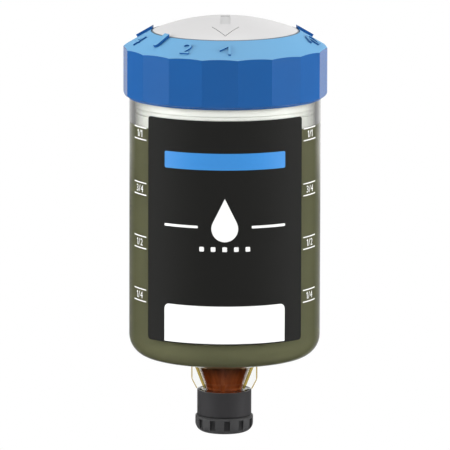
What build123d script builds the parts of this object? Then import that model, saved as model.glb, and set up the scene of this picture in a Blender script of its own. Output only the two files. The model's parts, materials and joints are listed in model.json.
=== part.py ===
from build123d import *
import math
import os

# Automatic lubricator: a clear container of grease that screws into a grease port. Gas from
# three cells under the cover pushes a piston down, and the dial sets how fast.
# Millimetres. +Z is up along the axis, the front (label, arrow) faces -Y, and the origin is on
# the axis at the seat, where the outlet stub meets the ribs' feet.
# Scale angles run clockwise from the front, seen from above.

os.makedirs("parts", exist_ok=True)

# Clearances
running = 0.05  # radial, shaft in hole or piston in bore
skin_gap = 0.02  # between pieces of one body that lie against each other
seat_gap = 0.1  # between moulded pieces that seat face to face
overcut = 1.0  # how far a cutter runs past what it cuts
hair = 1e-3  # tolerance for telling one edge's length from another's

# Outlet stub, over its thread, and the neck above it
stub_r = 6.5
stub_length = 10.4
stub_chamfer = 0.8
outlet_bore_r = 3.1
neck_r = 5.0
neck_top_r = 7.4
neck_height = 6.7
neck_round = 1.0
funnel_top_r = 5.2
funnel_start = 0.8
funnel_round = 2.0
rib_count = 4
rib_turn = 3.0  # the ribs stand a little off the label's middle
rib_thickness = 1.1
rib_foot_r = 7.8
rib_reach = 9.2
rib_rise = 2.7  # height over which a rib widens from its foot
rib_round = 3.0

# Container
container_r = 26.5
container_wall = 1.5
bottom_slope = 12.0
bottom_round = 6.0
container_height = 82.15  # seat to the step under the top ring
collar_step = 0.5
collar_height = 10.85
collar_bead = 0.4
bead_height = 5.65

# Label
label_start = 16.9
label_margin = 3.0  # bare container between the label and the step
label_half_angle = 52.4
label_thickness = 0.12
label_corner = 1.0
field_half_angle = 38.3
field_height = 10.8
field_border = 0.35
field_corner = 1.5
field_thickness = 0.05

# Piston and grease
piston_top_gap = 0.4  # under the inner cover, before the first stroke
piston_clearance = 0.2
piston_wall = 1.8
piston_skirt = 8.7
piston_skirt_wall = 2.6
piston_end_gap = 0.4
piston_lip = 1.0
piston_seal_section = 1.6
piston_groove_height = 4.6

# Inner cover
plug_wall = 2.9
plug_round = 0.6
plug_floor = 1.3
flange_thickness = 1.4
cover_seal_section = 1.9
cover_groove_depth = 4.4

# Gas cells and electrics
cell_count = 3
cell_r = 5.8
cell_height = 5.4
cell_circle_r = 10.5
cell_first_angle = 98.25
cell_round = 0.4
cell_lid_rise = 0.4
cell_rim = 0.8
cell_rim_height = 3.2
cell_step = 0.6
gas_hole_r = 0.8
membrane_r = 2.6
membrane_thickness = 0.5
strap_thickness = 0.2
strap_width = 3.0
board_gap = 0.1
board_thickness = 1.2
board_edge_gap = 0.5
contact_margin = 9.0  # each margin runs in from the board's edge
contact_r = 0.9
contact_height = 0.1
resistor_r = 0.85
resistor_length = 3.4
resistor_margin = 4.7
lead_r = 0.25
lead_length = 0.85
post_angles = (38.25, 165.75, 306.0)
post_margin = 3.0
post_r = 1.9
screw_r = 0.7
screw_length = 4.0
screw_head_r = 1.4
screw_head_height = 1.0
screw_slot = 0.4
screw_tip_gap = 0.6

# Top ring
facet_count = 18
facet_turn = 7.0
ring_overhang = 1.75  # container's wall to the cusps between the facets
band_overhang = 0.4
band_height = 0.5
facet_round = 1.0
slope_width = 7.65  # cusps to the dial's opening
ring_chamfer_rise = 4.5
web_step = 0.05  # web's top above the facets' edge
web_thickness = 1.6
core_wall = 1.6
clamp_width = 1.5
ring_gap = 0.1

# Scale: twelve positions, some shown as raised bars
position_count = 12
position_pitch = 25.5
bar_positions = (3, 5, 7, 9, 11)
bar_width = 2.0
bar_reach = 5.0
bar_height = 0.8

# Dial
dial_gap = 0.2
dome_rise = 4.0
dial_wall = 1.8
dial_skirt_wall = 1.6
dial_skirt_gap = 0.3
shaft_r = 4.0
hub_r = 6.5
shaft_seal_section = 1.1
track_margin = 5.4
track_width = 3.4
track_gap = 1.7
notch_r = 0.9
notch_depth = 0.4
arrow_line = 0.42  # the chevron's groove, measured along the arrow
arrow_depth = 0.3
arrow_margin = 2.4  # tip to the dial's edge
arrow_length = 6.3
arrow_half_width = 3.7
arrow_shaft_width = 2.8
arrow_shaft_depth = 0.2
arrow_shaft_round = 0.3
arrow_shaft_start = 9.5
arrow_shaft_end = -2.0

# Parts on the dial's shaft
clip_thickness = 0.7
clip_lift = 1.73  # the clip above the board
clip_depth = 0.9
clip_r = 6.0
clip_opening = 60.0
clip_turn = 90.0
wiper_thickness = 0.3
wiper_rise = 0.6
wiper_width = 2.4
wiper_boss_r = 3.4
wiper_pin_r = 1.5
wiper_dimple_r = 0.6
spring_thickness = 0.3
spring_width = 2.6
spring_length = 13.0
spring_rise = 1.0
spring_angle = 180.0

# Outlet cap
cap_top_gap = 0.15
cap_end_gap = 0.1
cap_side_gap = 0.55
cap_wall = 0.5
cap_floor = 1.5
cap_grip_step = 0.5
cap_grip_height = 4.7
cap_round = 2.6
cap_top_round = 0.3
cap_grooves = 12
cap_groove_width = 1.6
cap_groove_depth = 0.5
cap_groove_turn = 6.0
cap_groove_end = 0.7  # plain stretch of the grip above the grooves
cap_plug_length = 4.3
cap_plug_taper = 0.4

# Radii that follow
cavity_r = container_r - container_wall
collar_r = container_r - collar_step
cusp_r = container_r + ring_overhang
ring_bore_r = collar_r + ring_gap
opening_r = cusp_r - slope_width
dial_r = opening_r - dial_gap
track_r = dial_r - track_margin
arrow_tip = dial_r - arrow_margin
arrow_tail = arrow_tip - arrow_length
plug_r = cavity_r - seat_gap
board_r = plug_r - plug_wall - board_edge_gap
contact_circle_r = board_r - contact_margin
resistor_circle_r = board_r - resistor_margin
post_circle_r = board_r - post_margin
piston_r = cavity_r - piston_clearance
clip_inner_r = shaft_r - clip_depth
shaft_seal_r = shaft_r + running - skin_gap
cap_inner_r = stub_r + cap_side_gap
cap_skirt_r = cap_inner_r + cap_wall
cap_grip_r = cap_skirt_r + cap_grip_step

# Heights of the head, from the container's rim up
slope = math.radians(bottom_slope)
rim_z = container_height + collar_height
bead_z = container_height + bead_height
ring_z = container_height + ring_gap
flange_z = rim_z + flange_thickness
web_z = flange_z + seat_gap / 2
web_top_z = web_z + web_thickness
seal_z = web_z + web_thickness / 2
ring_edge_z = web_top_z - web_step
dial_rim_z = ring_edge_z + ring_chamfer_rise
dial_top_z = dial_rim_z + dome_rise + overcut

# and from the web down to the grease
clip_top_z = web_z - seat_gap
clip_z = clip_top_z - clip_thickness
board_top_z = clip_z - clip_lift
board_z = board_top_z - board_thickness
strap_z = board_z - board_gap - strap_thickness
cell_z = strap_z - skin_gap - cell_height
floor_z = cell_z - plug_floor
wiper_z = board_top_z + wiper_rise
wiper_top_z = wiper_z + wiper_thickness + skin_gap
piston_top_z = floor_z - piston_top_gap
grease_height = piston_top_z - piston_skirt  # seat to the top edge of the grease
label_height = container_height - label_margin - label_start

# Heights of the cap
cap_floor_z = -stub_length - cap_end_gap
cap_bottom_z = cap_floor_z - cap_floor
cap_plug_z = cap_floor_z + cap_plug_length


def bottom_z(radius, lift=0.0):
    """Height of the container's sloping outer bottom at a radius, lifted square to the slope."""
    return neck_height + (radius - neck_top_r) * math.tan(slope) + lift / math.cos(slope)


# Height at which the inner rounding of the bottom runs out into the straight wall
inner_round = bottom_round - container_wall
wall_start = bottom_z(cavity_r, container_wall) + inner_round * math.tan((math.pi / 2 - slope) / 2)
piston_travel = grease_height - wall_start - piston_end_gap
piston_lift = container_wall / math.cos(slope) + piston_end_gap + piston_travel


standing = (Align.CENTER, Align.CENTER, Align.MIN)


def on_scale(angle, radius=0.0, z=0.0):
    """A place at a scale angle: +X there points outwards."""
    return Rot(0, 0, -90 - angle) * Pos(radius, 0, z)


def turned(points, rounds=()):
    """A solid of revolution. rounds lists (index of a point, radius)."""
    outline = make_face(Polyline(*points, close=True))
    for index, radius in rounds:
        corner = outline.vertices().sort_by_distance(Vector(*points[index]))[0]
        outline = fillet(corner, radius)
    return revolve(Plane.XZ * outline, Axis.Z)


def standing_bar(radius, low, high):
    return Pos(0, 0, low) * Cylinder(radius, high - low, align=standing)


def ring(outer, inner, low, high):
    """A plain washer or sleeve."""
    return turned([(inner, low), (outer, low), (outer, high), (inner, high)])


def o_ring(outer, section, z):
    return Pos(0, 0, z) * Torus(outer - section / 2, section / 2)


def arc_panel(inner, outer, low, high, half_angle):
    """Part of a sleeve, centred on the front."""
    profile = Polyline((inner, low), (outer, low), (outer, high), (inner, high), close=True)
    panel = revolve(Plane.XZ * make_face(profile), Axis.Z, 2 * half_angle)
    return Rot(0, 0, -90 - half_angle) * panel


def cavity(gap, low, high):
    """The room inside the container, drawn in by a gap."""
    bore = outlet_bore_r - gap
    top = funnel_top_r - gap
    side = cavity_r - gap
    lift = container_wall + gap
    points = [
        (0, low),
        (bore, low),
        (bore, funnel_start),
        (top, bottom_z(top, lift)),
        (side, bottom_z(side, lift)),
        (side, high),
        (0, high),
    ]
    return turned(points, [(3, funnel_round), (4, inner_round - gap)])


def dish(radius, lift, high, corner):
    """A blank whose underside has the slope of the container's bottom, raised by a lift."""
    points = [
        (0, bottom_z(0) + lift),
        (radius, bottom_z(radius) + lift),
        (radius, high),
        (0, high),
    ]
    return turned(points, [(1, corner)])


def rib():
    """One radial rib of the neck, from the seat into the container's bottom."""
    buried = container_wall / 2
    inside = (outlet_bore_r + neck_r) / 2
    flare = neck_top_r - neck_r
    outline = make_face(
        Polyline(
            (inside, 0),
            (rib_foot_r, 0),
            (rib_reach, rib_rise),
            (rib_reach, bottom_z(rib_reach, buried)),
            (inside + flare, bottom_z(inside + flare, buried)),
            close=True,
        )
    )
    corner = outline.vertices().sort_by_distance(Vector(rib_reach, rib_rise))[0]
    outline = fillet(corner, rib_round)
    return extrude(Plane.XZ * outline, rib_thickness / 2, both=True)


def container():
    outside = turned(
        [
            (0, -stub_length),
            (stub_r - stub_chamfer, -stub_length),
            (stub_r, stub_chamfer - stub_length),
            (stub_r, 0),
            (neck_r, 0),
            (neck_top_r, neck_height),
            (container_r, bottom_z(container_r)),
            (container_r, container_height),
            (collar_r, container_height),
            (collar_r, rim_z),
            (0, rim_z),
        ],
        [(5, neck_round), (6, bottom_round)],
    )
    for turn in range(rib_count):
        outside += on_scale(rib_turn + turn * 360 / rib_count) * rib()
    outside += Pos(0, 0, bead_z) * Torus(collar_r, collar_bead)
    return outside - cavity(0, -stub_length - overcut, rim_z + overcut)


def label():
    low = label_start
    inner = container_r + skin_gap
    outer = inner + label_thickness
    sheet = arc_panel(inner, outer, low, low + label_height, label_half_angle)
    corners = sheet.edges().filter_by(lambda e: abs(e.length - label_thickness) < hair)
    sheet = fillet(corners, label_corner)
    field = arc_panel(
        outer - label_thickness / 2,
        outer + field_thickness,
        low + field_border,
        low + field_height,
        field_half_angle,
    )
    across = label_thickness / 2 + field_thickness
    corners = field.edges().filter_by(lambda e: abs(e.length - across) < hair)
    field = fillet(corners.sort_by(Axis.Z)[-2:], field_corner)
    return sheet + field


def piston():
    """A cup that opens upwards, with a guide lip at each end of its skirt and a seal groove."""
    corner = inner_round - piston_clearance
    body = dish(piston_r, piston_lift, piston_top_z, corner)
    inside_r = piston_r - piston_skirt_wall
    room_top = piston_top_z + overcut
    body -= dish(inside_r, piston_lift + piston_wall, room_top, corner - piston_wall)
    lip_r = cavity_r - running
    for lip_z in (grease_height + seat_gap, piston_top_z - piston_lip):
        body += ring(lip_r, piston_r - piston_skirt_wall / 2, lip_z, lip_z + piston_lip)
    middle = grease_height + piston_groove_height
    half = piston_seal_section / 2 + seat_gap
    floor_r = cavity_r - running - piston_seal_section - skin_gap
    return body - ring(cavity_r, floor_r, middle - half, middle + half)


def grease():
    cap_tip = cap_plug_z + seat_gap
    charge = cavity(running, cap_tip, grease_height - seat_gap)
    corner = inner_round - piston_clearance
    return charge - dish(piston_r, piston_lift - seat_gap, grease_height + overcut, corner)


def inner_cover():
    """A plug in the container's mouth, with pockets for the cells and posts for the board."""
    inside_r = plug_r - plug_wall
    body = turned(
        [
            (0, floor_z),
            (plug_r, floor_z),
            (plug_r, rim_z),
            (collar_r, rim_z),
            (collar_r, flange_z),
            (inside_r, flange_z),
            (inside_r, cell_z),
            (0, cell_z),
        ],
        [(1, plug_round)],
    )
    pocket_r = cell_r + running
    for turn in range(cell_count):
        place = on_scale(cell_first_angle + turn * 360 / cell_count, cell_circle_r)
        rim = Cylinder(pocket_r + cell_rim, cell_rim_height, align=standing)
        body += place * Pos(0, 0, cell_z) * rim
    for turn in range(cell_count):
        place = on_scale(cell_first_angle + turn * 360 / cell_count, cell_circle_r)
        body -= place * Pos(0, 0, cell_z) * Cylinder(pocket_r, cell_height, align=standing)
    for angle in post_angles:
        place = on_scale(angle, post_circle_r, cell_z)
        post_height = board_z - skin_gap - cell_z
        body += place * Cylinder(post_r, post_height, align=standing)
        pilot_depth = screw_length - board_thickness + screw_tip_gap
        pilot_z = post_height - pilot_depth
        body -= place * standing_bar(screw_r + running, pilot_z, post_height + overcut)
    middle = rim_z - cover_groove_depth
    half = cover_seal_section / 2 + seat_gap
    groove_r = cavity_r - cover_seal_section - 2 * skin_gap
    body -= ring(cavity_r, groove_r, middle - half, middle + half)
    body -= standing_bar(gas_hole_r, floor_z - overcut, cell_z + overcut)
    recess_top = floor_z + membrane_thickness + skin_gap
    return body - standing_bar(membrane_r + running, floor_z - overcut, recess_top)


def gas_membrane():
    return standing_bar(membrane_r, floor_z, floor_z + membrane_thickness)


def gas_cell(index):
    """A button cell: a can with a smaller lid on top."""
    place = on_scale(cell_first_angle + index * 360 / cell_count, cell_circle_r, cell_z)
    shoulder = cell_height - cell_lid_rise
    can = turned(
        [
            (0, skin_gap),
            (cell_r, skin_gap),
            (cell_r, shoulder - cell_step),
            (cell_r - cell_step, shoulder),
            (cell_r - 2 * cell_step, shoulder),
            (cell_r - 2 * cell_step, cell_height),
            (0, cell_height),
        ],
        [(1, cell_round)],
    )
    return place * can


def cell_straps():
    """Strips over the cells' lids that join each cell to the next."""
    half_step = 180 / cell_count
    between = 2 * cell_circle_r * math.sin(math.radians(half_step))
    strip = Box(strap_width, between - 2 * strap_width, strap_thickness, align=standing)
    middle_r = cell_circle_r * math.cos(math.radians(half_step))
    straps = []
    for index in range(cell_count - 1):
        angle = cell_first_angle + (2 * index + 1) * half_step
        straps.append(on_scale(angle, middle_r, strap_z) * strip)
    return straps


def circuit_board():
    body = standing_bar(board_r, board_z, board_top_z)
    for angle in post_angles:
        hole = standing_bar(screw_r + seat_gap, board_z - overcut, board_top_z + overcut)
        body -= on_scale(angle, post_circle_r) * hole
    for position in range(position_count):
        pad = standing_bar(contact_r, board_z + overcut, board_top_z + contact_height)
        body += on_scale(position * position_pitch, contact_circle_r) * pad
    return body


def timing_resistors():
    """A resistor behind each contact: a body lying on the board, with a lead at each end."""
    along = Rot(0, 90, 0)
    resistor = along * Cylinder(resistor_r, resistor_length)
    resistor += along * Cylinder(lead_r, resistor_length + 2 * lead_length)
    lying_z = board_top_z + resistor_r + skin_gap
    positions = range(position_count)
    return [
        on_scale(number * position_pitch, resistor_circle_r, lying_z) * resistor
        for number in positions
    ]


def board_screws():
    screw = Pos(0, 0, skin_gap) * Cylinder(screw_head_r, screw_head_height, align=standing)
    shank_length = screw_length + skin_gap
    screw += Pos(0, 0, -screw_length) * Cylinder(screw_r, shank_length, align=standing)
    screw -= Pos(0, 0, screw_head_height) * Box(2 * screw_head_r + overcut, screw_slot, screw_slot)
    return [on_scale(angle, post_circle_r, board_top_z) * screw for angle in post_angles]


def top_ring():
    """The cover ring: facets outside, a scale on the slope, and a web that carries the dial."""
    band_r = container_r + band_overhang
    facet_z = ring_z + band_height
    envelope = turned(
        [
            (0, facet_z),
            (cusp_r, facet_z),
            (cusp_r, ring_edge_z),
            (opening_r, dial_rim_z),
            (0, dial_rim_z),
        ],
        [(1, facet_round)],
    )
    prism = RegularPolygon(cusp_r, facet_count, major_radius=True)
    turn = facet_turn - 90
    facets = Pos(0, 0, ring_z) * extrude(Rot(0, 0, turn) * prism, dial_rim_z - ring_z)
    band = ring(band_r, ring_bore_r - overcut, ring_z, facet_z + facet_round)
    body = (facets & envelope) + band
    for position in bar_positions:
        body += scale_bar((position - 1) * position_pitch)
    body -= standing_bar(opening_r, web_top_z, dial_top_z)
    body -= standing_bar(ring_bore_r, ring_z - overcut, web_z)
    body -= core_groove()
    body -= leaf_bed()
    body -= Pos(0, 0, bead_z) * Torus(collar_r, collar_bead + seat_gap)
    return body - standing_bar(shaft_r + running, web_z - overcut, web_top_z + overcut)


def chamfer_slope():
    return math.degrees(math.atan2(ring_chamfer_rise, cusp_r - opening_r))


def scale_bar(angle):
    """A raised rounded bar that runs down the sloping top from the dial's edge."""
    outline = SlotOverall(2 * bar_reach, bar_width)
    bar = extrude(outline, bar_height + bar_width / 2)
    drop = Pos(0, 0, -bar_width / 2)
    lean = Rot(0, chamfer_slope(), 0)
    return on_scale(angle, opening_r, dial_rim_z) * lean * drop * bar


def core_groove():
    """The moulding's coring, under the sloping top and between clamp ledge and dial well."""
    outer_r = ring_bore_r - clamp_width
    inner_r = opening_r + core_wall
    fall = math.tan(math.radians(chamfer_slope()))
    cover = core_wall / math.cos(math.radians(chamfer_slope()))
    return turned(
        [
            (inner_r, web_z - overcut),
            (outer_r, web_z - overcut),
            (outer_r, dial_rim_z - (outer_r - opening_r) * fall - cover),
            (inner_r, dial_rim_z - (inner_r - opening_r) * fall - cover),
        ]
    )


def dome(radius, drop=0.0):
    """The ball whose cap is the dial's outer face, or a face that lies deeper by a drop."""
    ball_r = (radius**2 + dome_rise**2) / (2 * dome_rise)
    return Pos(0, 0, dial_rim_z + dome_rise - ball_r) * Sphere(ball_r - drop)


def arrow():
    """The chevron's outline and the broad shaft behind it, seen from above."""
    tip = (0, -arrow_tip)
    tails = [(-arrow_half_width, -arrow_tail), (arrow_half_width, -arrow_tail)]
    inner_tip = (0, -arrow_tip + arrow_line)
    inner_tails = [(x, y + arrow_line) for x, y in tails]
    points = [tails[0], tip, tails[1], inner_tails[1], inner_tip, inner_tails[0]]
    chevron = make_face(Polyline(*points, close=True))
    length = arrow_shaft_start - arrow_shaft_end
    middle = -(arrow_shaft_start + arrow_shaft_end) / 2
    shaft = Pos(0, middle) * RectangleRounded(arrow_shaft_width, length, arrow_shaft_round)
    return chevron, shaft


def engraved(outline, depth):
    """What an outline cuts out of the dome to an even depth."""
    column = Pos(0, 0, dial_rim_z) * extrude(outline, dial_top_z - dial_rim_z)
    return column - dome(dial_r, depth)


def dial():
    """A domed cap on a shaft, with a ring of notches underneath for the detent."""
    skirt_z = web_top_z + dial_skirt_gap
    hub_z = web_top_z + running
    track_z = web_top_z + track_gap
    inside = dome(dial_r, dial_wall)
    body = standing_bar(dial_r, skirt_z, dial_top_z) & dome(dial_r)
    body -= standing_bar(dial_r - dial_skirt_wall, skirt_z - overcut, dial_top_z) & inside
    outer, inner = track_r + track_width / 2, track_r - track_width / 2
    track = ring(outer, inner, track_z, dial_top_z)
    for position in range(position_count):
        notch = Rot(0, 90, 0) * Cylinder(notch_r, 2 * track_width)
        place = on_scale(spring_angle - position * position_pitch, track_r, track_z)
        track -= place * Pos(0, 0, notch_depth - notch_r) * notch
    shaft = standing_bar(hub_r, hub_z, dial_top_z) + standing_bar(shaft_r, wiper_top_z, hub_z)
    shaft += standing_bar(wiper_pin_r, wiper_z - skin_gap, wiper_top_z)
    body += (track + shaft) & dome(dial_r, dial_wall / 2)
    past_r = shaft_r + overcut
    body -= ring(past_r, clip_inner_r - skin_gap, clip_z - running, clip_top_z + running)
    half = shaft_seal_section / 2 + running
    groove_r = shaft_seal_r - shaft_seal_section - skin_gap
    body -= ring(past_r, groove_r, seal_z - half, seal_z + half)
    chevron, broad = arrow()
    return body - engraved(chevron, arrow_depth) - engraved(broad, arrow_shaft_depth)


def dial_clip():
    """An open retaining ring in the shaft's lower groove."""
    body = ring(clip_r, clip_inner_r, clip_z, clip_top_z)
    mouth = 2 * clip_inner_r * math.sin(math.radians(clip_opening / 2))
    long, high = clip_r + overcut, clip_thickness + overcut
    reach = Box(long, mouth, high, align=(Align.MIN, Align.CENTER, Align.CENTER))
    return body - on_scale(clip_turn, 0, clip_z + clip_thickness / 2) * reach


def selector_wiper():
    """A sprung arm on the shaft's end, whose dimple runs over the board's contacts."""
    reach = contact_circle_r + wiper_width / 2
    arm = standing_bar(wiper_boss_r, wiper_z, wiper_z + wiper_thickness)
    strip = Box(reach, wiper_width, wiper_thickness, align=(Align.MIN, Align.CENTER, Align.MIN))
    arm += on_scale(0, 0, wiper_z) * strip
    dimple_z = board_top_z + contact_height + running
    dimple = standing_bar(wiper_dimple_r, dimple_z, wiper_z + wiper_thickness)
    arm += on_scale(0, contact_circle_r) * dimple
    return arm - standing_bar(wiper_pin_r + skin_gap, wiper_z - overcut, wiper_z + overcut)


def leaf_bed():
    """The shallow pocket in the web that the detent spring lies in."""
    room = Box(spring_width + 2 * seat_gap, spring_length + 2 * seat_gap, 2 * spring_thickness)
    return on_scale(spring_angle, track_r, web_top_z) * room


def detent_spring():
    """An arched leaf with a half-round bump that stands just under the dial's notches."""
    foot_z = web_top_z - spring_thickness + skin_gap
    half = spring_length / 2
    thick = spring_thickness
    under = ThreePointArc((-half, 0), (0, spring_rise), (half, 0))
    over = ThreePointArc((-half, thick), (0, spring_rise + thick), (half, thick))
    ends = Line((-half, 0), (-half, thick)) + Line((half, 0), (half, thick))
    leaf = extrude(Plane.YZ * make_face(under + over + ends), spring_width / 2, both=True)
    bump_top = web_top_z + track_gap - seat_gap - foot_z
    bump = Rot(0, 90, 0) * Cylinder(notch_r - running, spring_width)
    leaf += Pos(0, 0, bump_top - notch_r + running) * bump
    return on_scale(spring_angle, track_r, foot_z) * leaf


def outlet_cap():
    """A push-on cap with a grooved grip below and a plug that seals the outlet bore."""
    grip_z = cap_bottom_z + cap_grip_height
    top_z = -cap_top_gap
    body = turned(
        [
            (0, cap_bottom_z),
            (cap_grip_r, cap_bottom_z),
            (cap_grip_r, grip_z),
            (cap_skirt_r, grip_z),
            (cap_skirt_r, top_z),
            (0, top_z),
        ],
        [(1, cap_round), (2, cap_top_round)],
    )
    body -= standing_bar(cap_inner_r, cap_floor_z, top_z + overcut)
    groove = Box(2 * cap_groove_depth, cap_groove_width, cap_grip_height)
    for turn in range(cap_grooves):
        angle = turn * 360 / cap_grooves - cap_groove_turn
        body -= on_scale(angle, cap_grip_r, grip_z - cap_groove_end - cap_grip_height / 2) * groove
    plug_r_low = outlet_bore_r - running
    plug = turned(
        [
            (0, cap_floor_z - cap_floor / 2),
            (plug_r_low, cap_floor_z - cap_floor / 2),
            (plug_r_low, cap_plug_z - cap_plug_taper),
            (plug_r_low - cap_plug_taper, cap_plug_z),
            (0, cap_plug_z),
        ]
    )
    return body + plug


def cover_seal():
    return o_ring(cavity_r - skin_gap, cover_seal_section, rim_z - cover_groove_depth)


def piston_seal():
    return o_ring(cavity_r - running, piston_seal_section, grease_height + piston_groove_height)


def dial_seal():
    return o_ring(shaft_seal_r, shaft_seal_section, seal_z)


pieces = {
    "container": container(),
    "grease_fill": grease(),
    "label": label(),
    "piston": piston(),
    "piston_seal": piston_seal(),
    "inner_cover": inner_cover(),
    "cover_seal": cover_seal(),
    "gas_membrane": gas_membrane(),
    "cell_straps": Compound(cell_straps()),
    "circuit_board": circuit_board(),
    "timing_resistors": Compound(timing_resistors()),
    "board_screws": Compound(board_screws()),
    "top_ring": top_ring(),
    "detent_spring": detent_spring(),
    "dial": dial(),
    "dial_seal": dial_seal(),
    "dial_clip": dial_clip(),
    "selector_wiper": selector_wiper(),
    "outlet_cap": outlet_cap(),
}
for index in range(cell_count):
    pieces[f"gas_cell_{index + 1}"] = gas_cell(index)
for node, piece in pieces.items():
    export_step(piece, f"parts/{node}.step")
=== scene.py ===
import json
import math

import bmesh
import bpy
from mathutils import Matrix, Vector


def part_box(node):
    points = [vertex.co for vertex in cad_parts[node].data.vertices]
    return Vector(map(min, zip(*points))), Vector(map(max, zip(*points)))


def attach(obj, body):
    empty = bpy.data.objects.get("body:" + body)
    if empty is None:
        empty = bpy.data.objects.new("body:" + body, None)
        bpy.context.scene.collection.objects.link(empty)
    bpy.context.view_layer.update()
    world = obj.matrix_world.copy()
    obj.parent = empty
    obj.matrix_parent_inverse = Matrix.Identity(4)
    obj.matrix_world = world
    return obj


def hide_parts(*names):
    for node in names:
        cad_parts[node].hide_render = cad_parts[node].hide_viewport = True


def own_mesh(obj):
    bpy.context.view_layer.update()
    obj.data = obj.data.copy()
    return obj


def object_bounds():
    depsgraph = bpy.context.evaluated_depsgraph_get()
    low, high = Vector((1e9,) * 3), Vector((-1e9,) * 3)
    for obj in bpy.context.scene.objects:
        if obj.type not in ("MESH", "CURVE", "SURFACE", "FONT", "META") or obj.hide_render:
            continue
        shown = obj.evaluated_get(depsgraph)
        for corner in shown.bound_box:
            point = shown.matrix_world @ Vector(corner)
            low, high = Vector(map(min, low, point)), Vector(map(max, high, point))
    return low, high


# Automatic lubricator: a clear container of grease with a black label, a blue faceted cover
# ring, a pale domed dial and a black outlet cap. Every size in a dictionary is in millimetres
# or degrees; meshes are built in millimetres and shrunk to metres when they become pieces.

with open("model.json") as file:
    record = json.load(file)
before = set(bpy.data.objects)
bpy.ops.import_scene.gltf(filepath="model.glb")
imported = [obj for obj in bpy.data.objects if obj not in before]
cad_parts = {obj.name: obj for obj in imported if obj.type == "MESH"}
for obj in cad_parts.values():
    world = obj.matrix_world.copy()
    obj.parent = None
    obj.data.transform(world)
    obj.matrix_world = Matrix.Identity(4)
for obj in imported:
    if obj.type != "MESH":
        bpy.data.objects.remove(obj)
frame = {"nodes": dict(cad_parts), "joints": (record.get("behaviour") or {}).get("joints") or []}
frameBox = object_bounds()
nodes = frame["nodes"]
mm = 0.001
print("stage 1: frame loaded with", len(nodes), "nodes")


def srgb(hexColour):  # sRGB hex to linear, with alpha
    channels = [int(hexColour[place : place + 2], 16) / 255 for place in (1, 3, 5)]
    linear = [c / 12.92 if c <= 0.04045 else ((c + 0.055) / 1.055) ** 2.4 for c in channels]
    return (*linear, 1.0)


def addNode(tree, kind, inputs=None, **settings):
    # inputs are values, sockets, or nodes, whose first output is then used
    node = tree.nodes.new(kind)
    for name, value in settings.items():
        setattr(node, name, value)
    for name, value in (inputs or {}).items():
        named = [socket for socket in node.inputs if socket.enabled and socket.name == name]
        socket = node.inputs[name] if isinstance(name, int) else named[0]
        if isinstance(value, bpy.types.Node):
            value = next(output for output in value.outputs if output.enabled)
        if isinstance(value, bpy.types.NodeSocket):
            tree.links.new(value, socket)
        else:
            socket.default_value = value
    return node


def newMaterial(name):
    # an empty material with its tree, and the place on the object that its patterns follow
    material = bpy.data.materials.new(name)
    material.use_nodes = True
    tree = material.node_tree
    tree.nodes.clear()
    return material, tree, addNode(tree, "ShaderNodeTexCoord").outputs["Object"]


def perMetre(size):  # scale of a texture whose features are that many millimetres across
    return 1 / (size * mm)


def boxOf(node):  # a node's box in millimetres
    low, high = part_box(node)
    return low / mm, high / mm


# Meshes


def roundedOutline(points, rounds, steps=8):
    # each corner in rounds becomes an arc of that radius
    outline = []
    for index, point in enumerate(points):
        if index not in rounds:
            outline.append(Vector(point))
            continue
        here = Vector(point)
        before = (Vector(points[index - 1]) - here).normalized()
        after = (Vector(points[(index + 1) % len(points)]) - here).normalized()
        half = before.angle(after) / 2
        centre = here + (before + after).normalized() * rounds[index] / math.sin(half)
        start = here + before * rounds[index] / math.tan(half) - centre
        end = here + after * rounds[index] / math.tan(half) - centre
        turn = start.angle(end)
        for step in range(steps + 1):
            share = step / steps
            mix = start * math.sin((1 - share) * turn) + end * math.sin(share * turn)
            outline.append(centre + mix / math.sin(turn))
    return outline


def revolved(outline, segments):
    # turns a closed outline of (radius, height) points about the axis
    mesh = bmesh.new()
    rings = []
    for radius, height in outline:
        if radius < 1e-6:
            rings.append([mesh.verts.new((0, 0, height))] * segments)
            continue
        turns = [2 * math.pi * step / segments for step in range(segments)]
        place = [(radius * math.sin(turn), -radius * math.cos(turn), height) for turn in turns]
        rings.append([mesh.verts.new(point) for point in place])
    for lower, upper in zip(rings, rings[1:] + rings[:1]):
        for step in range(segments):
            following = (step + 1) % segments
            corners = [lower[step], lower[following], upper[following], upper[step]]
            unique = list(dict.fromkeys(corners))
            if len(unique) > 2:
                mesh.faces.new(unique)
    bmesh.ops.recalc_face_normals(mesh, faces=mesh.faces)
    return mesh


def flatPlate(outlines, thickness):
    # closed plates lying in XY, one for each outline, standing up from z = 0
    mesh = bmesh.new()
    for outline in outlines:
        face = mesh.faces.new([mesh.verts.new((x, y, 0)) for x, y in outline])
        grown = bmesh.ops.extrude_face_region(mesh, geom=[face], use_keep_orig=True)
        raised = [item for item in grown["geom"] if isinstance(item, bmesh.types.BMVert)]
        bmesh.ops.translate(mesh, verts=raised, vec=(0, 0, thickness))
    bmesh.ops.recalc_face_normals(mesh, faces=mesh.faces)
    return mesh


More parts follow.
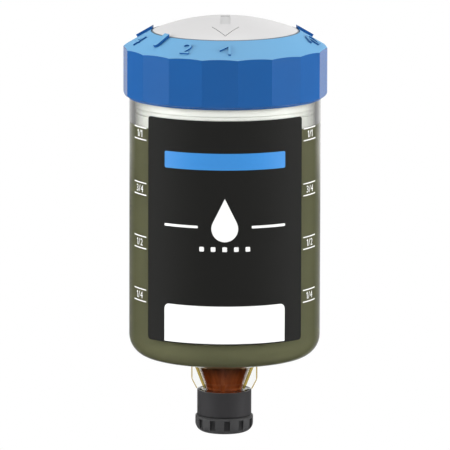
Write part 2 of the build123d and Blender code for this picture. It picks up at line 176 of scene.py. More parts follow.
def lettering(text, height, thickness):
    # plain figures as a closed plate, centred on the origin, with digits of that height
    curve = bpy.data.curves.new("figures", "FONT")
    curve.body = text
    curve.extrude = thickness / 2
    curve.resolution_u = 4
    shape = bpy.data.objects.new("figures", curve)
    bpy.context.scene.collection.objects.link(shape)
    graph = bpy.context.evaluated_depsgraph_get()
    drawn = bpy.data.meshes.new_from_object(shape.evaluated_get(graph))
    mesh = bmesh.new()
    mesh.from_mesh(drawn)
    bpy.data.objects.remove(shape)
    bmesh.ops.remove_doubles(mesh, verts=mesh.verts, dist=1e-5)
    xs = [vert.co.x for vert in mesh.verts]
    ys = [vert.co.y for vert in mesh.verts]
    scale = height / (max(ys) - min(ys))
    middle = Vector(((max(xs) + min(xs)) / 2, (max(ys) + min(ys)) / 2, -thickness / 2))
    for vert in mesh.verts:
        moved = vert.co - middle
        vert.co = (moved.x * scale, moved.y * scale, moved.z)
    bmesh.ops.recalc_face_normals(mesh, faces=mesh.faces)
    return mesh


def joined(meshes):  # several meshes as one
    whole = bmesh.new()
    for mesh in meshes:
        part = bpy.data.meshes.new("part")
        mesh.to_mesh(part)
        whole.from_mesh(part)
        bpy.data.meshes.remove(part)
        mesh.free()
    return whole


drawnFigures = {  # shares of a figure's height
    "stem": 0.16,
    "flagSlope": 0.78,
    "flagDepth": 0.18,
    "flagFoot": 0.8,  # where the flag's underside meets the stem
    "stroke": 0.12,
    "strokeLean": 0.34,
}


def figureRow(text, height, thickness, flag, gap):
    # figures side by side, with a plain 1 whose flag has the given width, and a fraction stroke
    part = drawnFigures
    stem = flag + part["stem"]
    tip = 1 - part["flagSlope"] * flag
    under = [(0, tip - part["flagDepth"]), (flag, part["flagFoot"])]
    lean = part["strokeLean"]
    drawn = {
        "1": [(flag, 0), (stem, 0), (stem, 1), (flag, 1), (0, tip), *under],
        "/": [(0, 0), (part["stroke"], 0), (lean + part["stroke"], 1), (lean, 1)],
    }
    meshes = []
    reach = 0.0
    for letter in text:
        if letter in drawn:
            outline = [(x * height, y * height) for x, y in drawn[letter]]
            mesh = flatPlate([outline], thickness)
        else:
            mesh = lettering(letter, height, thickness)
        xs = [vert.co.x for vert in mesh.verts]
        ys = [vert.co.y for vert in mesh.verts]
        shift = (reach - min(xs), -(min(ys) + max(ys)) / 2, 0)
        bmesh.ops.translate(mesh, verts=mesh.verts, vec=shift)
        reach += max(xs) - min(xs) + gap * height
        meshes.append(mesh)
    row = joined(meshes)
    bmesh.ops.translate(row, verts=row.verts, vec=((gap * height - reach) / 2, 0, 0))
    return row


def wrapped(mesh, radius, azimuth=0.0, height=0.0, strip=1.2):
    # bends a flat plate round the axis, after cutting it into upright strips of that width
    xs = [vert.co.x for vert in mesh.verts]
    bmesh.ops.triangulate(mesh, faces=mesh.faces)
    cut = min(xs) + strip
    while cut < max(xs):
        parts = mesh.verts[:] + mesh.edges[:] + mesh.faces[:]
        bmesh.ops.bisect_plane(mesh, geom=parts, plane_co=(cut, 0, 0), plane_no=(1, 0, 0))
        cut += strip
    for vert in mesh.verts:
        turn = vert.co.x / radius + math.radians(azimuth)
        reach = radius + vert.co.z
        vert.co = (reach * math.sin(turn), -reach * math.cos(turn), vert.co.y + height)
    bmesh.ops.recalc_face_normals(mesh, faces=mesh.faces)
    return mesh


def newPiece(name, mesh, material, body, replaced=(), smoothTo=35.0):
    # a finished piece of the object, from a mesh in millimetres
    bmesh.ops.scale(mesh, vec=(mm, mm, mm), verts=mesh.verts)
    data = bpy.data.meshes.new(name)
    mesh.to_mesh(data)
    mesh.free()
    data.shade_smooth()
    data.set_sharp_from_angle(angle=math.radians(smoothTo))
    data.materials.append(material)
    piece = bpy.data.objects.new(name, data)
    bpy.context.scene.collection.objects.link(piece)
    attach(piece, body)
    if replaced:
        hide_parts(*replaced)
    return piece


# Materials


def twoTones(tree, pattern, look):
    # the look's colour and its shade, mixed by a pattern
    tones = {"Factor": pattern, "A": srgb(look["colour"]), "B": srgb(look["shade"])}
    return addNode(tree, "ShaderNodeMix", tones, data_type="RGBA")


def unevenGloss(tree, pattern, look, less, more):
    # the look's roughness, a little less or more of it by a pattern
    limits = {"To Min": look["roughness"] - less, "To Max": look["roughness"] + more}
    return addNode(tree, "ShaderNodeMapRange", {"Value": pattern, **limits})


def coverWith(tree, surface):
    shader = addNode(tree, "ShaderNodeBsdfPrincipled", surface)
    addNode(tree, "ShaderNodeOutputMaterial", {"Surface": shader})


def within(tree, value, low, high):
    # 1 where the value in millimetres lies between two limits, else 0
    middle = (low + high) / 2 * mm
    near = {0: value, 1: middle, 2: (high - low) / 2 * mm}
    return addNode(tree, "ShaderNodeMath", near, operation="COMPARE")


def toned(tree, colour, masks, tone):
    # the tone where every mask is 1
    factor = masks[0]
    for mask in masks[1:]:
        factor = addNode(tree, "ShaderNodeMath", {0: factor, 1: mask}, operation="MULTIPLY")
    tones = {"Factor": factor, "A": colour, "B": srgb(tone)}
    return addNode(tree, "ShaderNodeMix", tones, data_type="RGBA")


def fromAxis(tree, place):  # distance from the object's axis
    flat = addNode(tree, "ShaderNodeVectorMath", {0: place, 1: (1, 1, 0)}, operation="MULTIPLY")
    return addNode(tree, "ShaderNodeVectorMath", {0: flat}, operation="LENGTH").outputs["Value"]


def mouldedPlastic(name, look, tones=None):
    # moulded plastic: slightly uneven colour and gloss, and the tool's fine spark texture;
    # tones may change the colour from place to place
    material, tree, place = newMaterial(name)
    cloud = addNode(tree, "ShaderNodeTexNoise", {"Vector": place, "Scale": perMetre(9), "Detail": 3.0})
    spark = {"Vector": place, "Scale": perMetre(look["grain"]), "Detail": 2.0}
    grain = addNode(tree, "ShaderNodeTexNoise", spark)
    colour = twoTones(tree, cloud, look)
    # painted light: faces turned upward take the look's paler upper colour, as if lit from above
    if "upper" in look:
        level = addNode(tree, "ShaderNodeNewGeometry").outputs["Normal"]
        upward = addNode(tree, "ShaderNodeSeparateXYZ", {"Vector": level}).outputs["Z"]
        upwardShare = addNode(tree, "ShaderNodeMapRange", {"Value": upward, "From Min": 0.3, "From Max": 0.8})
        above = {"Factor": upwardShare, "A": colour, "B": srgb(look["upper"])}
        colour = addNode(tree, "ShaderNodeMix", above, data_type="RGBA")
    if tones:
        colour = tones(tree, place, colour)
    gloss = unevenGloss(tree, cloud, look, 0.03, 0.03)
    if "upperRoughness" in look:
        gloss = addNode(tree, "ShaderNodeMix", {"Factor": upwardShare, "A": gloss, "B": look["upperRoughness"]})
    relief = {"Height": grain, "Strength": 0.35, "Distance": look["relief"] * mm}
    bump = addNode(tree, "ShaderNodeBump", relief)
    surface = {"Base Color": colour, "Roughness": gloss, "IOR": look["ior"], "Normal": bump}
    coverWith(tree, surface)
    return material


def drawnMetal(name, look):
    # drawn or rolled metal: long faint scratches one way, and a softer shine than a mirror
    material, tree, place = newMaterial(name)
    stretched = addNode(tree, "ShaderNodeMapping", {"Vector": place, "Scale": look["stretch"]})
    lines = {"Vector": stretched, "Scale": perMetre(look["grain"]), "Detail": 4.0}
    scratches = addNode(tree, "ShaderNodeTexNoise", lines)
    gloss = unevenGloss(tree, scratches, look, 0.06, 0.08)
    colour = twoTones(tree, scratches, look)
    surface = {"Base Color": colour, "Roughness": gloss, "Metallic": 1.0}
    coverWith(tree, surface)
    return material


def amberAtRibs(tree, place, tint, look):
    # the ribs' flat sides carry amber light from the grease along their root and outer edge
    height = addNode(tree, "ShaderNodeSeparateXYZ", {"Vector": place}).outputs["Z"]
    radius = fromAxis(tree, place)
    inRibs = within(tree, height, look["ribBottom"], look["ribTop"])
    normal = addNode(tree, "ShaderNodeNewGeometry").outputs["Normal"]
    outward = addNode(tree, "ShaderNodeVectorMath", {0: place, 1: (1, 1, 0)}, operation="MULTIPLY")
    along = addNode(tree, "ShaderNodeVectorMath", {0: outward}, operation="NORMALIZE")
    turned = addNode(tree, "ShaderNodeVectorMath", {0: normal, 1: along}, operation="DOT_PRODUCT")
    square = {0: turned.outputs["Value"], 1: 0.0, 2: look["ribSides"]}
    onSides = addNode(tree, "ShaderNodeMath", square, operation="COMPARE")
    for low, high, half, tone in look["ribLines"]:
        slant = {"Value": height, "From Max": high[1] * mm, "To Min": low * mm, "To Max": high[0] * mm}
        line = addNode(tree, "ShaderNodeMapRange", slant)
        away = addNode(tree, "ShaderNodeMath", {0: radius, 1: line}, operation="SUBTRACT")
        near = within(tree, away, -half, half)
        tint = toned(tree, tint, [inRibs, near, onSides], tone)
    return tint


def clearStyreneMoulded(look):
    # clear styrene copolymer, moulded and polished: glassy, with edges toned by what the light has run
    # through (the grease, amber in the neck), and above the grease greys as painted shade; lamps shine
    # through
    material, tree, place = newMaterial("clearStyreneMoulded")
    waves = addNode(tree, "ShaderNodeTexNoise", {"Vector": place, "Scale": perMetre(look["waves"])})
    relief = {"Height": waves, "Strength": 0.15, "Distance": look["relief"] * mm}
    bump = addNode(tree, "ShaderNodeBump", relief)
    facing = addNode(tree, "ShaderNodeLayerWeight", {"Blend": 0.5}).outputs["Facing"]
    height = addNode(tree, "ShaderNodeSeparateXYZ", {"Vector": place}).outputs["Z"]
    tint = None
    for startZ, stops in look["edges"].items():
        ramp = addNode(tree, "ShaderNodeValToRGB", {"Fac": facing})
        elements = ramp.color_ramp.elements
        elements[0].position, elements[1].position = stops[0][0], stops[-1][0]
        for position, _ in stops[1:-1]:
            elements.new(position)
        for element, (_, colour) in zip(elements, stops):
            element.color = srgb(colour)
        if tint is None:
            tint = ramp
            continue
        band = {"Value": height, "From Min": startZ * mm, "From Max": (startZ + look["blend"]) * mm}
        change = addNode(tree, "ShaderNodeMapRange", band)
        tint = addNode(tree, "ShaderNodeMix", {"Factor": change, "A": tint, "B": ramp}, data_type="RGBA")
    tint = amberAtRibs(tree, place, tint, look)
    path = addNode(tree, "ShaderNodeLightPath")
    seen = {"Factor": path.outputs["Is Camera Ray"], "A": srgb(look["colour"]), "B": tint}
    surface = {
        "Base Color": addNode(tree, "ShaderNodeMix", seen, data_type="RGBA"),
        "Roughness": look["roughness"],
        "IOR": look["ior"],
        "Transmission Weight": 1.0,
        "Normal": bump,
    }
    shader = addNode(tree, "ShaderNodeBsdfPrincipled", surface)
    shade = addNode(tree, "ShaderNodeBsdfTransparent", {"Color": srgb(look["shadowColour"])})
    mixed = addNode(tree, "ShaderNodeMixShader", {0: path.outputs["Is Shadow Ray"], 1: shader, 2: shade})
    addNode(tree, "ShaderNodeOutputMaterial", {"Surface": mixed})
    return material


def packedGrease(look):
    # lithium soap grease packed against a wall: even olive, wet shine, faint folds
    material, tree, place = newMaterial("packedGrease")
    squeezed = addNode(tree, "ShaderNodeMapping", {"Vector": place, "Scale": (1, 1, 2.5)})
    folds = {"Vector": squeezed, "Scale": perMetre(look["folds"]), "Detail": 4.0}
    cloud = addNode(tree, "ShaderNodeTexNoise", folds)
    colour = twoTones(tree, cloud, look)
    relief = {"Height": cloud, "Strength": 0.2, "Distance": look["relief"] * mm}
    bump = addNode(tree, "ShaderNodeBump", relief)
    surface = {
        "Base Color": colour,
        "Roughness": look["roughness"],
        "IOR": look["ior"],
        "Specular IOR Level": look["shine"],
        "Normal": bump,
    }
    coverWith(tree, surface)
    return material


def thinGrease(look):
    # the same grease where it is thin enough for light to pass: amber, darker towards the
    # container, with upright streaks from the way it was filled
    material, tree, place = newMaterial("thinGrease")
    parts = addNode(tree, "ShaderNodeSeparateXYZ", {"Vector": place})
    level = {"Value": parts.outputs["Z"], "From Min": look["low"] * mm, "From Max": look["high"] * mm}
    height = addNode(tree, "ShaderNodeMapRange", level)
    ramp = addNode(tree, "ShaderNodeValToRGB", {"Fac": height})
    stops = ramp.color_ramp.elements
    stops[0].color = srgb(look["lowColour"])
    stops[1].color = srgb(look["highColour"])
    middle = stops.new(look["middle"])
    middle.color = srgb(look["middleColour"])
    drawn = addNode(tree, "ShaderNodeMapping", {"Vector": place, "Scale": (1, 1, 0.08)})
    lines = {"Vector": drawn, "Scale": perMetre(look["streaks"]), "Detail": 2.0}
    streaks = addNode(tree, "ShaderNodeTexNoise", lines)
    low, high = look["streakTones"]
    spread = {"Value": streaks, "From Min": 0.35, "From Max": 0.65, "To Min": low, "To Max": high}
    strength = addNode(tree, "ShaderNodeMapRange", spread)
    product = {"Factor": 1.0, "A": ramp, "B": strength}
    colour = addNode(tree, "ShaderNodeMix", product, data_type="RGBA", blend_type="MULTIPLY")
    surface = {
        "Base Color": colour,
        "Roughness": look["roughness"],
        "IOR": look["ior"],
        "Specular IOR Level": look["shine"],
    }
    coverWith(tree, surface)
    return material


def printedFilm(name, look):
    # printed polyester film or ink: flat colour with the faint mottle of the print
    material, tree, place = newMaterial(name)
    mottle = addNode(tree, "ShaderNodeTexNoise", {"Vector": place, "Scale": perMetre(0.8), "Detail": 5.0})
    colour = twoTones(tree, mottle, look)
    gloss = unevenGloss(tree, mottle, look, 0.04, 0.04)
    surface = {"Base Color": colour, "Roughness": gloss, "IOR": look["ior"]}
    coverWith(tree, surface)
    return material


def boardLaminate(look):
    # glass-epoxy board: green lacquer over a woven core, tinned contacts standing above it
    material, tree, place = newMaterial("boardLaminate")
    weave = addNode(tree, "ShaderNodeTexChecker", {"Vector": place, "Scale": perMetre(look["weave"])})
    weave.inputs["Color1"].default_value = srgb(look["colour"])
    weave.inputs["Color2"].default_value = srgb(look["shade"])
    parts = addNode(tree, "ShaderNodeSeparateXYZ", {"Vector": place})
    over = {0: parts.outputs["Z"], 1: look["topZ"] * mm}
    above = addNode(tree, "ShaderNodeMath", over, operation="GREATER_THAN")
    tones = {"Factor": above, "A": weave.outputs["Color"], "B": srgb(look["contactColour"])}
    colour = addNode(tree, "ShaderNodeMix", tones, data_type="RGBA")
    surface = {"Base Color": colour, "Roughness": look["roughness"], "Metallic": above}
    coverWith(tree, surface)
    return material


def dress(node, material):  # a CAD piece keeps its mesh and gets the material
    for place in nodes[node].material_slots:
        place.material = material


# Container: clear, with a funnel-shaped neck, four ribs and a G 1/4 thread

container = {
    "wall": 1.5,
    "boreR": 3.1,
    "stubChamfer": 0.8,
    "stubR": 6.5,
    "neckR": 5.0,
    "neckTopR": 7.4,
    "neckHeight": 6.7,
    "neckRound": 1.0,
    "funnelTopR": 5.2,
    "funnelStart": 0.8,
    "funnelRound": 2.0,
    "bottomSlope": 12.0,
    "bottomRound": 6.0,
    "collarStep": 0.5,
    "collarHeight": 10.85,
    "beadRise": 5.65,
    "beadR": 0.4,
    "segments": 144,
    "ribs": 4,
    "ribTurn": -3.0,
    "ribThickness": 1.1,
    "ribFootR": 7.8,
    "ribReach": 9.2,
    "ribRise": 2.7,
    "ribRound": 3.0,
    "ribEdge": 0.2,
    "ribCorner": 80.0,  # edges that turn more than this are bevelled
    "threadPitch": 1.337,  # G 1/4
    "threadDepth": 0.856,
    "threadRows": 12,  # rows of faces for each turn of the thread
    "threadRunout": 0.9,
    "threadFlank": 1.6,  # steepness of its flanks, and how much of a turn its root is flat
    "threadRoot": 0.3,
    "threadDelay": 0.4,  # bare part at each end, as a share of the runout
    "stubSkin": 0.01,  # points this near the stub's radius lie on its face
}
clearLook = {
    "colour": "#FBFCFA",
    "shadowColour": "#FAFBF9",
    # edge tones by height and, in each, by how far the surface turns away. They are written
    # darker than they show, because only the first face that the eye meets is tinted.
    "edges": {
        -12.0: ((0.1, "#FBFCFA"), (0.3, "#EAD9A4"), (0.6, "#CDA94E"), (1.0, "#E2D29A")),
        0.5: ((0.1, "#FBFCFA"), (0.2, "#E2C787"), (0.35, "#A8772A"), (0.7, "#9C6C22"), (1.0, "#CDB578")),
        7.0: ((0.55, "#FBFCFA"), (0.75, "#E2E5D2"), (1.0, "#E6E8E4")),
        # above the grease: greys that paint the shade seen at a slant through the wall
        75.4: (
            (0.24, "#FBFCFA"),
            (0.36, "#CFCFCC"),
            (0.46, "#B4B4B1"),
            (0.53, "#9A9A98"),
            (0.62, "#6C6C6A"),
            (0.69, "#474746"),
            (0.77, "#4D4D4C"),
            (0.88, "#959592"),
            (1.0, "#D1D2CE"),
        ),
    },
    "blend": 0.3,
    "ribBottom": -1.0,
    "ribTop": 6.9,
    "ribSides": 0.5,  # how far off square to the radius still counts as a rib's side
    # amber lines: radius at the seat, radius and height above, half the width, and tone
    "ribLines": (
        (4.75, (7.5, 6.7), 0.65, "#52400F"),
        (7.7, (9.1, 2.7), 0.22, "#8A6A20"),
        (5.6, (8.2, 6.7), 0.22, "#7C6018"),
    ),
    "roughness": 0.02,
    "ior": 1.56,
    "waves": 7.0,
    "relief": 0.02,
}
containerLow, containerHigh = boxOf("container")
outerR = containerHigh.x
innerR = outerR - container["wall"]
collarR = outerR - container["collarStep"]
rimZ = containerHigh.z
stepZ = rimZ - container["collarHeight"]
stubEndZ = containerLow.z
slope = math.radians(container["bottomSlope"])
innerRound = container["bottomRound"] - container["wall"]


def bottomZ(radius, lift=0.0):
    # height of the sloping outer bottom, lifted square to the slope
    rise = (radius - container["neckTopR"]) * math.tan(slope)
    return container["neckHeight"] + rise + lift / math.cos(slope)


wallStartZ = bottomZ(innerR, container["wall"]) + innerRound * math.tan(math.pi / 4 - slope / 2)


def threadedR(turn, height):
    # radius of the stub at a turn (in radians) and height, with the thread fading at both ends
    part = container
    phase = (height / part["threadPitch"] - turn / (2 * math.pi)) % 1.0
    flank = min(1.0, max(0.0, abs(2 * phase - 1) * part["threadFlank"] - part["threadRoot"]))
    fromEnds = min(-height, height - stubEndZ - part["stubChamfer"] / 2)
    fade = min(1.0, max(0.0, fromEnds / part["threadRunout"] - part["threadDelay"]))
    return part["stubR"] - part["threadDepth"] * (1 - flank) * fade


def containerShell():
    part = container
    foot = part["stubR"] - part["stubChamfer"]
    startZ = stubEndZ + part["stubChamfer"]
    rows = round(-startZ / part["threadPitch"] * part["threadRows"])
    stub = [(part["stubR"], startZ * (1 - row / rows)) for row in range(rows + 1)]
    beadZ = stepZ + part["beadRise"]
    bead = [
        (collarR + part["beadR"] * math.sin(turn), beadZ - part["beadR"] * math.cos(turn))
        for turn in [math.pi * step / 6 for step in range(1, 6)]
    ]
    outside = [(foot, stubEndZ), *stub]
    above = [
        (part["neckR"], 0),
        (part["neckTopR"], part["neckHeight"]),
        (outerR, bottomZ(outerR)),
        (outerR, stepZ),
        (collarR, stepZ),
        *bead,
        (collarR, rimZ),
        (innerR, rimZ),
        (innerR, bottomZ(innerR, part["wall"])),
        (part["funnelTopR"], bottomZ(part["funnelTopR"], part["wall"])),
        (part["boreR"], part["funnelStart"]),
        (part["boreR"], stubEndZ),
    ]
    first = len(outside)
    last = first + len(above)
    rounds = {
        first + 1: part["neckRound"],
        first + 2: part["bottomRound"],
        last - 4: innerRound,
        last - 3: part["funnelRound"],
    }
    return revolved(roundedOutline(outside + above, rounds), part["segments"])


def neckRibs():
    part = container
    inside = (part["boreR"] + part["neckR"]) / 2
    buried = part["wall"] / 2
    flare = inside + part["neckTopR"] - part["neckR"]
    corners = [
        (inside, 0),
        (part["ribFootR"], 0),
        (part["ribReach"], part["ribRise"]),
        (part["ribReach"], bottomZ(part["ribReach"], buried)),
        (flare, bottomZ(flare, buried)),
    ]
    outline = roundedOutline(corners, {2: part["ribRound"]})
    sharp = math.radians(part["ribCorner"])
    ribs = []
    for turn in range(part["ribs"]):
        rib = flatPlate([outline], part["ribThickness"])
        rim = [edge for edge in rib.edges if edge.calc_face_angle(0) > sharp]
        bmesh.ops.bevel(rib, geom=rim, offset=part["ribEdge"], segments=2, affect="EDGES")
        stand = Matrix.Rotation(math.radians(90), 4, "X")
        middle = Matrix.Translation((0, part["ribThickness"] / 2, 0))
        degrees = part["ribTurn"] + turn * 360 / part["ribs"]
        about = Matrix.Rotation(math.radians(degrees), 4, "Z")
        bmesh.ops.transform(rib, matrix=about @ middle @ stand, verts=rib.verts)
        ribs.append(rib)
    return joined(ribs)


def united(first, second):
    # one closed mesh from two, by an exact boolean
    shapes = []
    for mesh in (first, second):
        data = bpy.data.meshes.new("uniting")
        mesh.to_mesh(data)
        mesh.free()
        shape = bpy.data.objects.new("uniting", data)
        bpy.context.scene.collection.objects.link(shape)
        shapes.append(shape)
    union = shapes[0].modifiers.new("union", "BOOLEAN")
    union.operation = "UNION"
    union.solver = "EXACT"
    union.object = shapes[1]
    graph = bpy.context.evaluated_depsgraph_get()
    result = bmesh.new()
    result.from_mesh(shapes[0].evaluated_get(graph).to_mesh())
    for shape in shapes:
        bpy.data.objects.remove(shape)
    return result


def clearContainer():
    mesh = united(containerShell(), neckRibs())
    for vert in mesh.verts:
        radius = math.hypot(vert.co.x, vert.co.y)
        onStub = abs(radius - container["stubR"]) < container["stubSkin"]
        if onStub and stubEndZ < vert.co.z < 0:
            turn = math.atan2(vert.co.x, -vert.co.y)
            scale = threadedR(turn, vert.co.z) / radius
            vert.co.x *= scale
            vert.co.y *= scale
    material = clearStyreneMoulded(clearLook)
    return newPiece("clearContainer", mesh, material, "housing", ["container"])


clearContainer()
print("stage 2: container")

# Grease: olive against the wall, amber in the neck. The column that the piston presses out is
# four nested rings, each over its own stretch of the sloping bottom.

grease = {
    "skin": 0.05,  # how far it wets into the wall
    "pistonR": 24.8,
    "pistonRound": 4.3,
    "topGap": 0.1,
    "filmTop": 75.4,  # a film of it stands in the running gap round the piston's skirt
    "filmR": 24.96,
    "restGap": 0.15,  # under the piston after its last stroke
    "foldLift": 1.3,
    "ringEdges": (0.0, 8.0, 16.0, 22.4),
    "keep": 0.0065,
    "leastStep": 0.05,
    "edgeTurn": 3,  # degrees between its points under the piston's rounded edge
    "evenSteps": 30,  # from that edge to the middle
    "tipRound": 0.3,
    "segments": 128,
}
# lithium soap grease with a dark additive: olive, and wet where it meets the wall
greaseLook = {
    "colour": "#69694F",
    "shade": "#64644A",
    "roughness": 0.35,
    "ior": 1.49,
    "shine": 0.05,  # it wets the wall, so almost nothing is mirrored between them
    "folds": 6.0,
    "relief": 0.05,
}
amberLook = {
    "low": 0.5,  # heights between which its colour changes
    "high": 7.0,
    "middle": 0.45,
    "lowColour": "#7F4024",
    "middleColour": "#763C20",
    "highColour": "#372017",
    "streaks": 0.9,
    "streakTones": (0.85, 1.2),
    "roughness": 0.3,
    "ior": 1.49,
    "shine": 0.05,
}
greaseLow = boxOf("grease_fill")[0]
pistonLow = boxOf("piston")[0]
joints = {joint["name"]: joint for joint in frame["joints"]}
stroke = joints["piston_stroke"]["range_m"][1] / mm
wetR = innerR + grease["skin"]


def underPiston(radius, drop):
    # height of the piston's underside before the first stroke, lowered by a drop
    part = grease
    roundR = part["pistonRound"]
    centreR = part["pistonR"] - roundR
    edgeZ = pistonLow.z + part["pistonR"] * math.tan(slope)
    centreZ = edgeZ + roundR * math.tan(math.pi / 4 - slope / 2)
    if radius <= centreR + roundR * math.sin(slope):
        return pistonLow.z + radius * math.tan(slope) - drop
    reach = min(radius - centreR, roundR)
    return centreZ - math.sqrt(roundR**2 - reach**2) - drop


def radiiInward(outer, inner):
    # close together round the piston's edge, where its underside turns up
    part = grease
    roundR = part["pistonRound"]
    centreR = part["pistonR"] - roundR
    turns = range(90, round(container["bottomSlope"]), -part["edgeTurn"])
    edge = [centreR + roundR * math.sin(math.radians(turn)) for turn in turns]
    even = [centreR * (1 - step / part["evenSteps"]) for step in range(part["evenSteps"] + 1)]
    least = part["leastStep"]
    between = [radius for radius in edge + even if inner + least < radius < outer - least]
    return [outer, *between, inner]


def greaseColumn(material):
    # nested rings from under the piston down towards the bottom; the outer one has a film round the skirt
    part = grease
    edges = [*part["ringEdges"], wetR]
    for number, (inner, outer) in enumerate(zip(edges, edges[1:]), 1):
        footZ = underPiston(inner, stroke - part["foldLift"])
        if outer == wetR:
            footZ = wallStartZ
        top = [(radius, underPiston(radius, part["topGap"])) for radius in radiiInward(outer, inner)]
        if outer == wetR:
            film = [(wetR, part["filmTop"]), (part["filmR"], part["filmTop"])]
            edge = (part["filmR"], underPiston(part["filmR"], part["topGap"]))
            inside = part["filmR"] - 2 * part["leastStep"]
            top = [*film, edge, *[point for point in top if point[0] < inside]]
        mesh = revolved([(inner, footZ), (outer, footZ), *top], part["segments"])
        piece = newPiece(f"greaseColumn{number}", mesh, material, "housing")
        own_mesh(piece)


def greasePool(material):
    # what stays on the container's bottom below the piston's last position
    skin = grease["skin"]
    lift = container["wall"] - skin
    funnelR = container["funnelTopR"] + skin
    low = [
        (0, bottomZ(0, lift)),
        (funnelR, bottomZ(funnelR, lift)),
        (wetR, bottomZ(wetR, lift)),
        (wetR, wallStartZ),
    ]
    drop = stroke + grease["restGap"]
    top = [(radius, underPiston(radius, drop)) for radius in radiiInward(wetR, 0.0)]
    outline = roundedOutline(low + top, {2: innerRound + skin}, steps=12)
    mesh = revolved(outline, grease["segments"])
    return newPiece("greasePool", mesh, material, "housing", ["grease_fill"])


def neckGrease():
    # the thin column in the outlet and the funnel above it, with its top under the piston
    part = container
    skin = grease["skin"]
    boreR = part["boreR"] + skin
    topR = part["funnelTopR"] + skin
    topZ = bottomZ(topR, part["wall"])
    outline = [
        (0, greaseLow.z),
        (boreR, greaseLow.z),
        (boreR, part["funnelStart"]),
        (topR, topZ),
        (topR / 2, min(topZ, underPiston(topR / 2, stroke + grease["restGap"]))),
        (0, underPiston(0, stroke + grease["restGap"])),
    ]
    mesh = revolved(roundedOutline(outline, {1: grease["tipRound"]}), grease["segments"])
    return newPiece("neckGrease", mesh, thinGrease(amberLook), "housing")


olive = packedGrease(greaseLook)
greasePool(olive)
greaseColumn(olive)
neckGrease()
print("stage 3: grease")

# Label: black film with a white write-on field, and plain marks printed on it

label = {
    "halfAngle": 52.4,
    "gap": 0.02,
    "thickness": 0.12,
    "corner": 1.0,
    "fieldHalfAngle": 38.3,
    "fieldHeight": 10.8,
    "fieldBorder": 0.35,
    "fieldCorner": 1.5,
    "ink": 0.03,
    "bandTop": 9.0,  # each of these runs down from the label's top edge
    "bandHeight": 4.6,
    "bandCorner": 0.4,
    "dropTop": 21.5,
    "dropHeight": 12.0,
    "dropR": 3.7,
    "dropSteps": 28,  # sides of its round
    "ruleDrop": 29.8,
    "ruleHeight": 0.7,
    "ruleCorner": 0.2,
    "ruleInset": 7.5,
    "squareDrop": 36.2,
    "squareSize": 1.3,
    "squareCorner": 0.25,
    "squarePitch": 3.2,
    "squares": 5,
}
# polyester film printed black and lacquered, a matter lacquer to write on, and screen inks
filmLook = {"colour": "#1D1D1C", "shade": "#20201E", "roughness": 0.24, "ior": 1.5}
fieldLook = {"colour": "#F7F7F5", "shade": "#F2F2F0", "roughness": 0.5, "ior": 1.5}
blueInkLook = {"colour": "#2E86CE", "shade": "#2A80C8", "roughness": 0.4, "ior": 1.5}
whiteInkLook = {"colour": "#F2F2F0", "shade": "#ECECEA", "roughness": 0.42, "ior": 1.5}
labelLow, labelHigh = boxOf("label")
filmR = outerR + label["gap"]
faceR = filmR + label["thickness"]


def panelOutline(width, low, high, corners):
    # upright rounded panel centred on x = 0; corners are low right, high right, high left, low left
    points = [(width / 2, low), (width / 2, high), (-width / 2, high), (-width / 2, low)]
    rounds = {index: radius for index, radius in enumerate(corners) if radius}
    return roundedOutline(points, rounds, steps=6)


def labelFilm():
    part = label
    width = 2 * math.radians(part["halfAngle"]) * filmR
    outline = panelOutline(width, labelLow.z, labelHigh.z, [part["corner"]] * 4)
    mesh = wrapped(flatPlate([outline], part["thickness"]), filmR)
    material = printedFilm("polyesterFilmBlack", filmLook)
    return newPiece("labelFilm", mesh, material, "housing", ["label"])


def writeField():
    part = label
    width = 2 * math.radians(part["fieldHalfAngle"]) * faceR
    low = labelLow.z + part["fieldBorder"]
    high = labelLow.z + part["fieldHeight"]
    outline = panelOutline(width, low, high, [0, part["fieldCorner"], part["fieldCorner"], 0])
    mesh = wrapped(flatPlate([outline], part["ink"]), faceR)
    material = printedFilm("writeOnLacquerWhite", fieldLook)
    return newPiece("writeField", mesh, material, "housing")


def dropOutline(topZ):
    # a drop: a round below, and a point above that its sides run up to
    part = label
    radius = part["dropR"]
    centreZ = topZ - part["dropHeight"] + radius
    reach = part["dropHeight"] - radius
    touch = math.acos(radius / reach)
    steps = part["dropSteps"]
    sweep = 2 * math.pi - 2 * touch
    turns = [math.pi / 2 - touch - sweep * step / steps for step in range(steps + 1)]
    arc = [(radius * math.cos(turn), centreZ + radius * math.sin(turn)) for turn in turns]
    return [(0, topZ), *arc]


def labelPrint():
    # a blue band, and in white a drop between two rules over a row of small squares
    part = label
    top = labelHigh.z
    width = 2 * math.radians(part["fieldHalfAngle"]) * faceR
    bandLow = top - part["bandTop"] - part["bandHeight"]
    band = panelOutline(width, bandLow, bandLow + part["bandHeight"], [part["bandCorner"]] * 4)
    blue = printedFilm("screenInkBlue", blueInkLook)
    mesh = wrapped(flatPlate([band], part["ink"]), faceR)
    newPiece("labelBand", mesh, blue, "housing")
    ruleZ = top - part["ruleDrop"]
    ruleWidth = width / 2 - part["ruleInset"]
    shapes = [dropOutline(top - part["dropTop"])]
    for side in (-1, 1):
        middle = side * (part["ruleInset"] + ruleWidth / 2)
        rule = panelOutline(ruleWidth, ruleZ, ruleZ + part["ruleHeight"], [part["ruleCorner"]] * 4)
        shapes.append([(x + middle, z) for x, z in rule])
    size = part["squareSize"]
    squareZ = top - part["squareDrop"]
    for number in range(part["squares"]):
        middle = (number - (part["squares"] - 1) / 2) * part["squarePitch"]
        square = panelOutline(size, squareZ, squareZ + size, [part["squareCorner"]] * 4)
        shapes.append([(x + middle, z) for x, z in square])
    white = printedFilm("screenInkWhite", whiteInkLook)
    mesh = wrapped(flatPlate(shapes, part["ink"]), faceR)
    newPiece("labelMarks", mesh, white, "housing")
    return white


labelFilm()
writeField()
whiteInk = labelPrint()

# Level marks: printed on the container at both sides of the label, a fraction between two lines

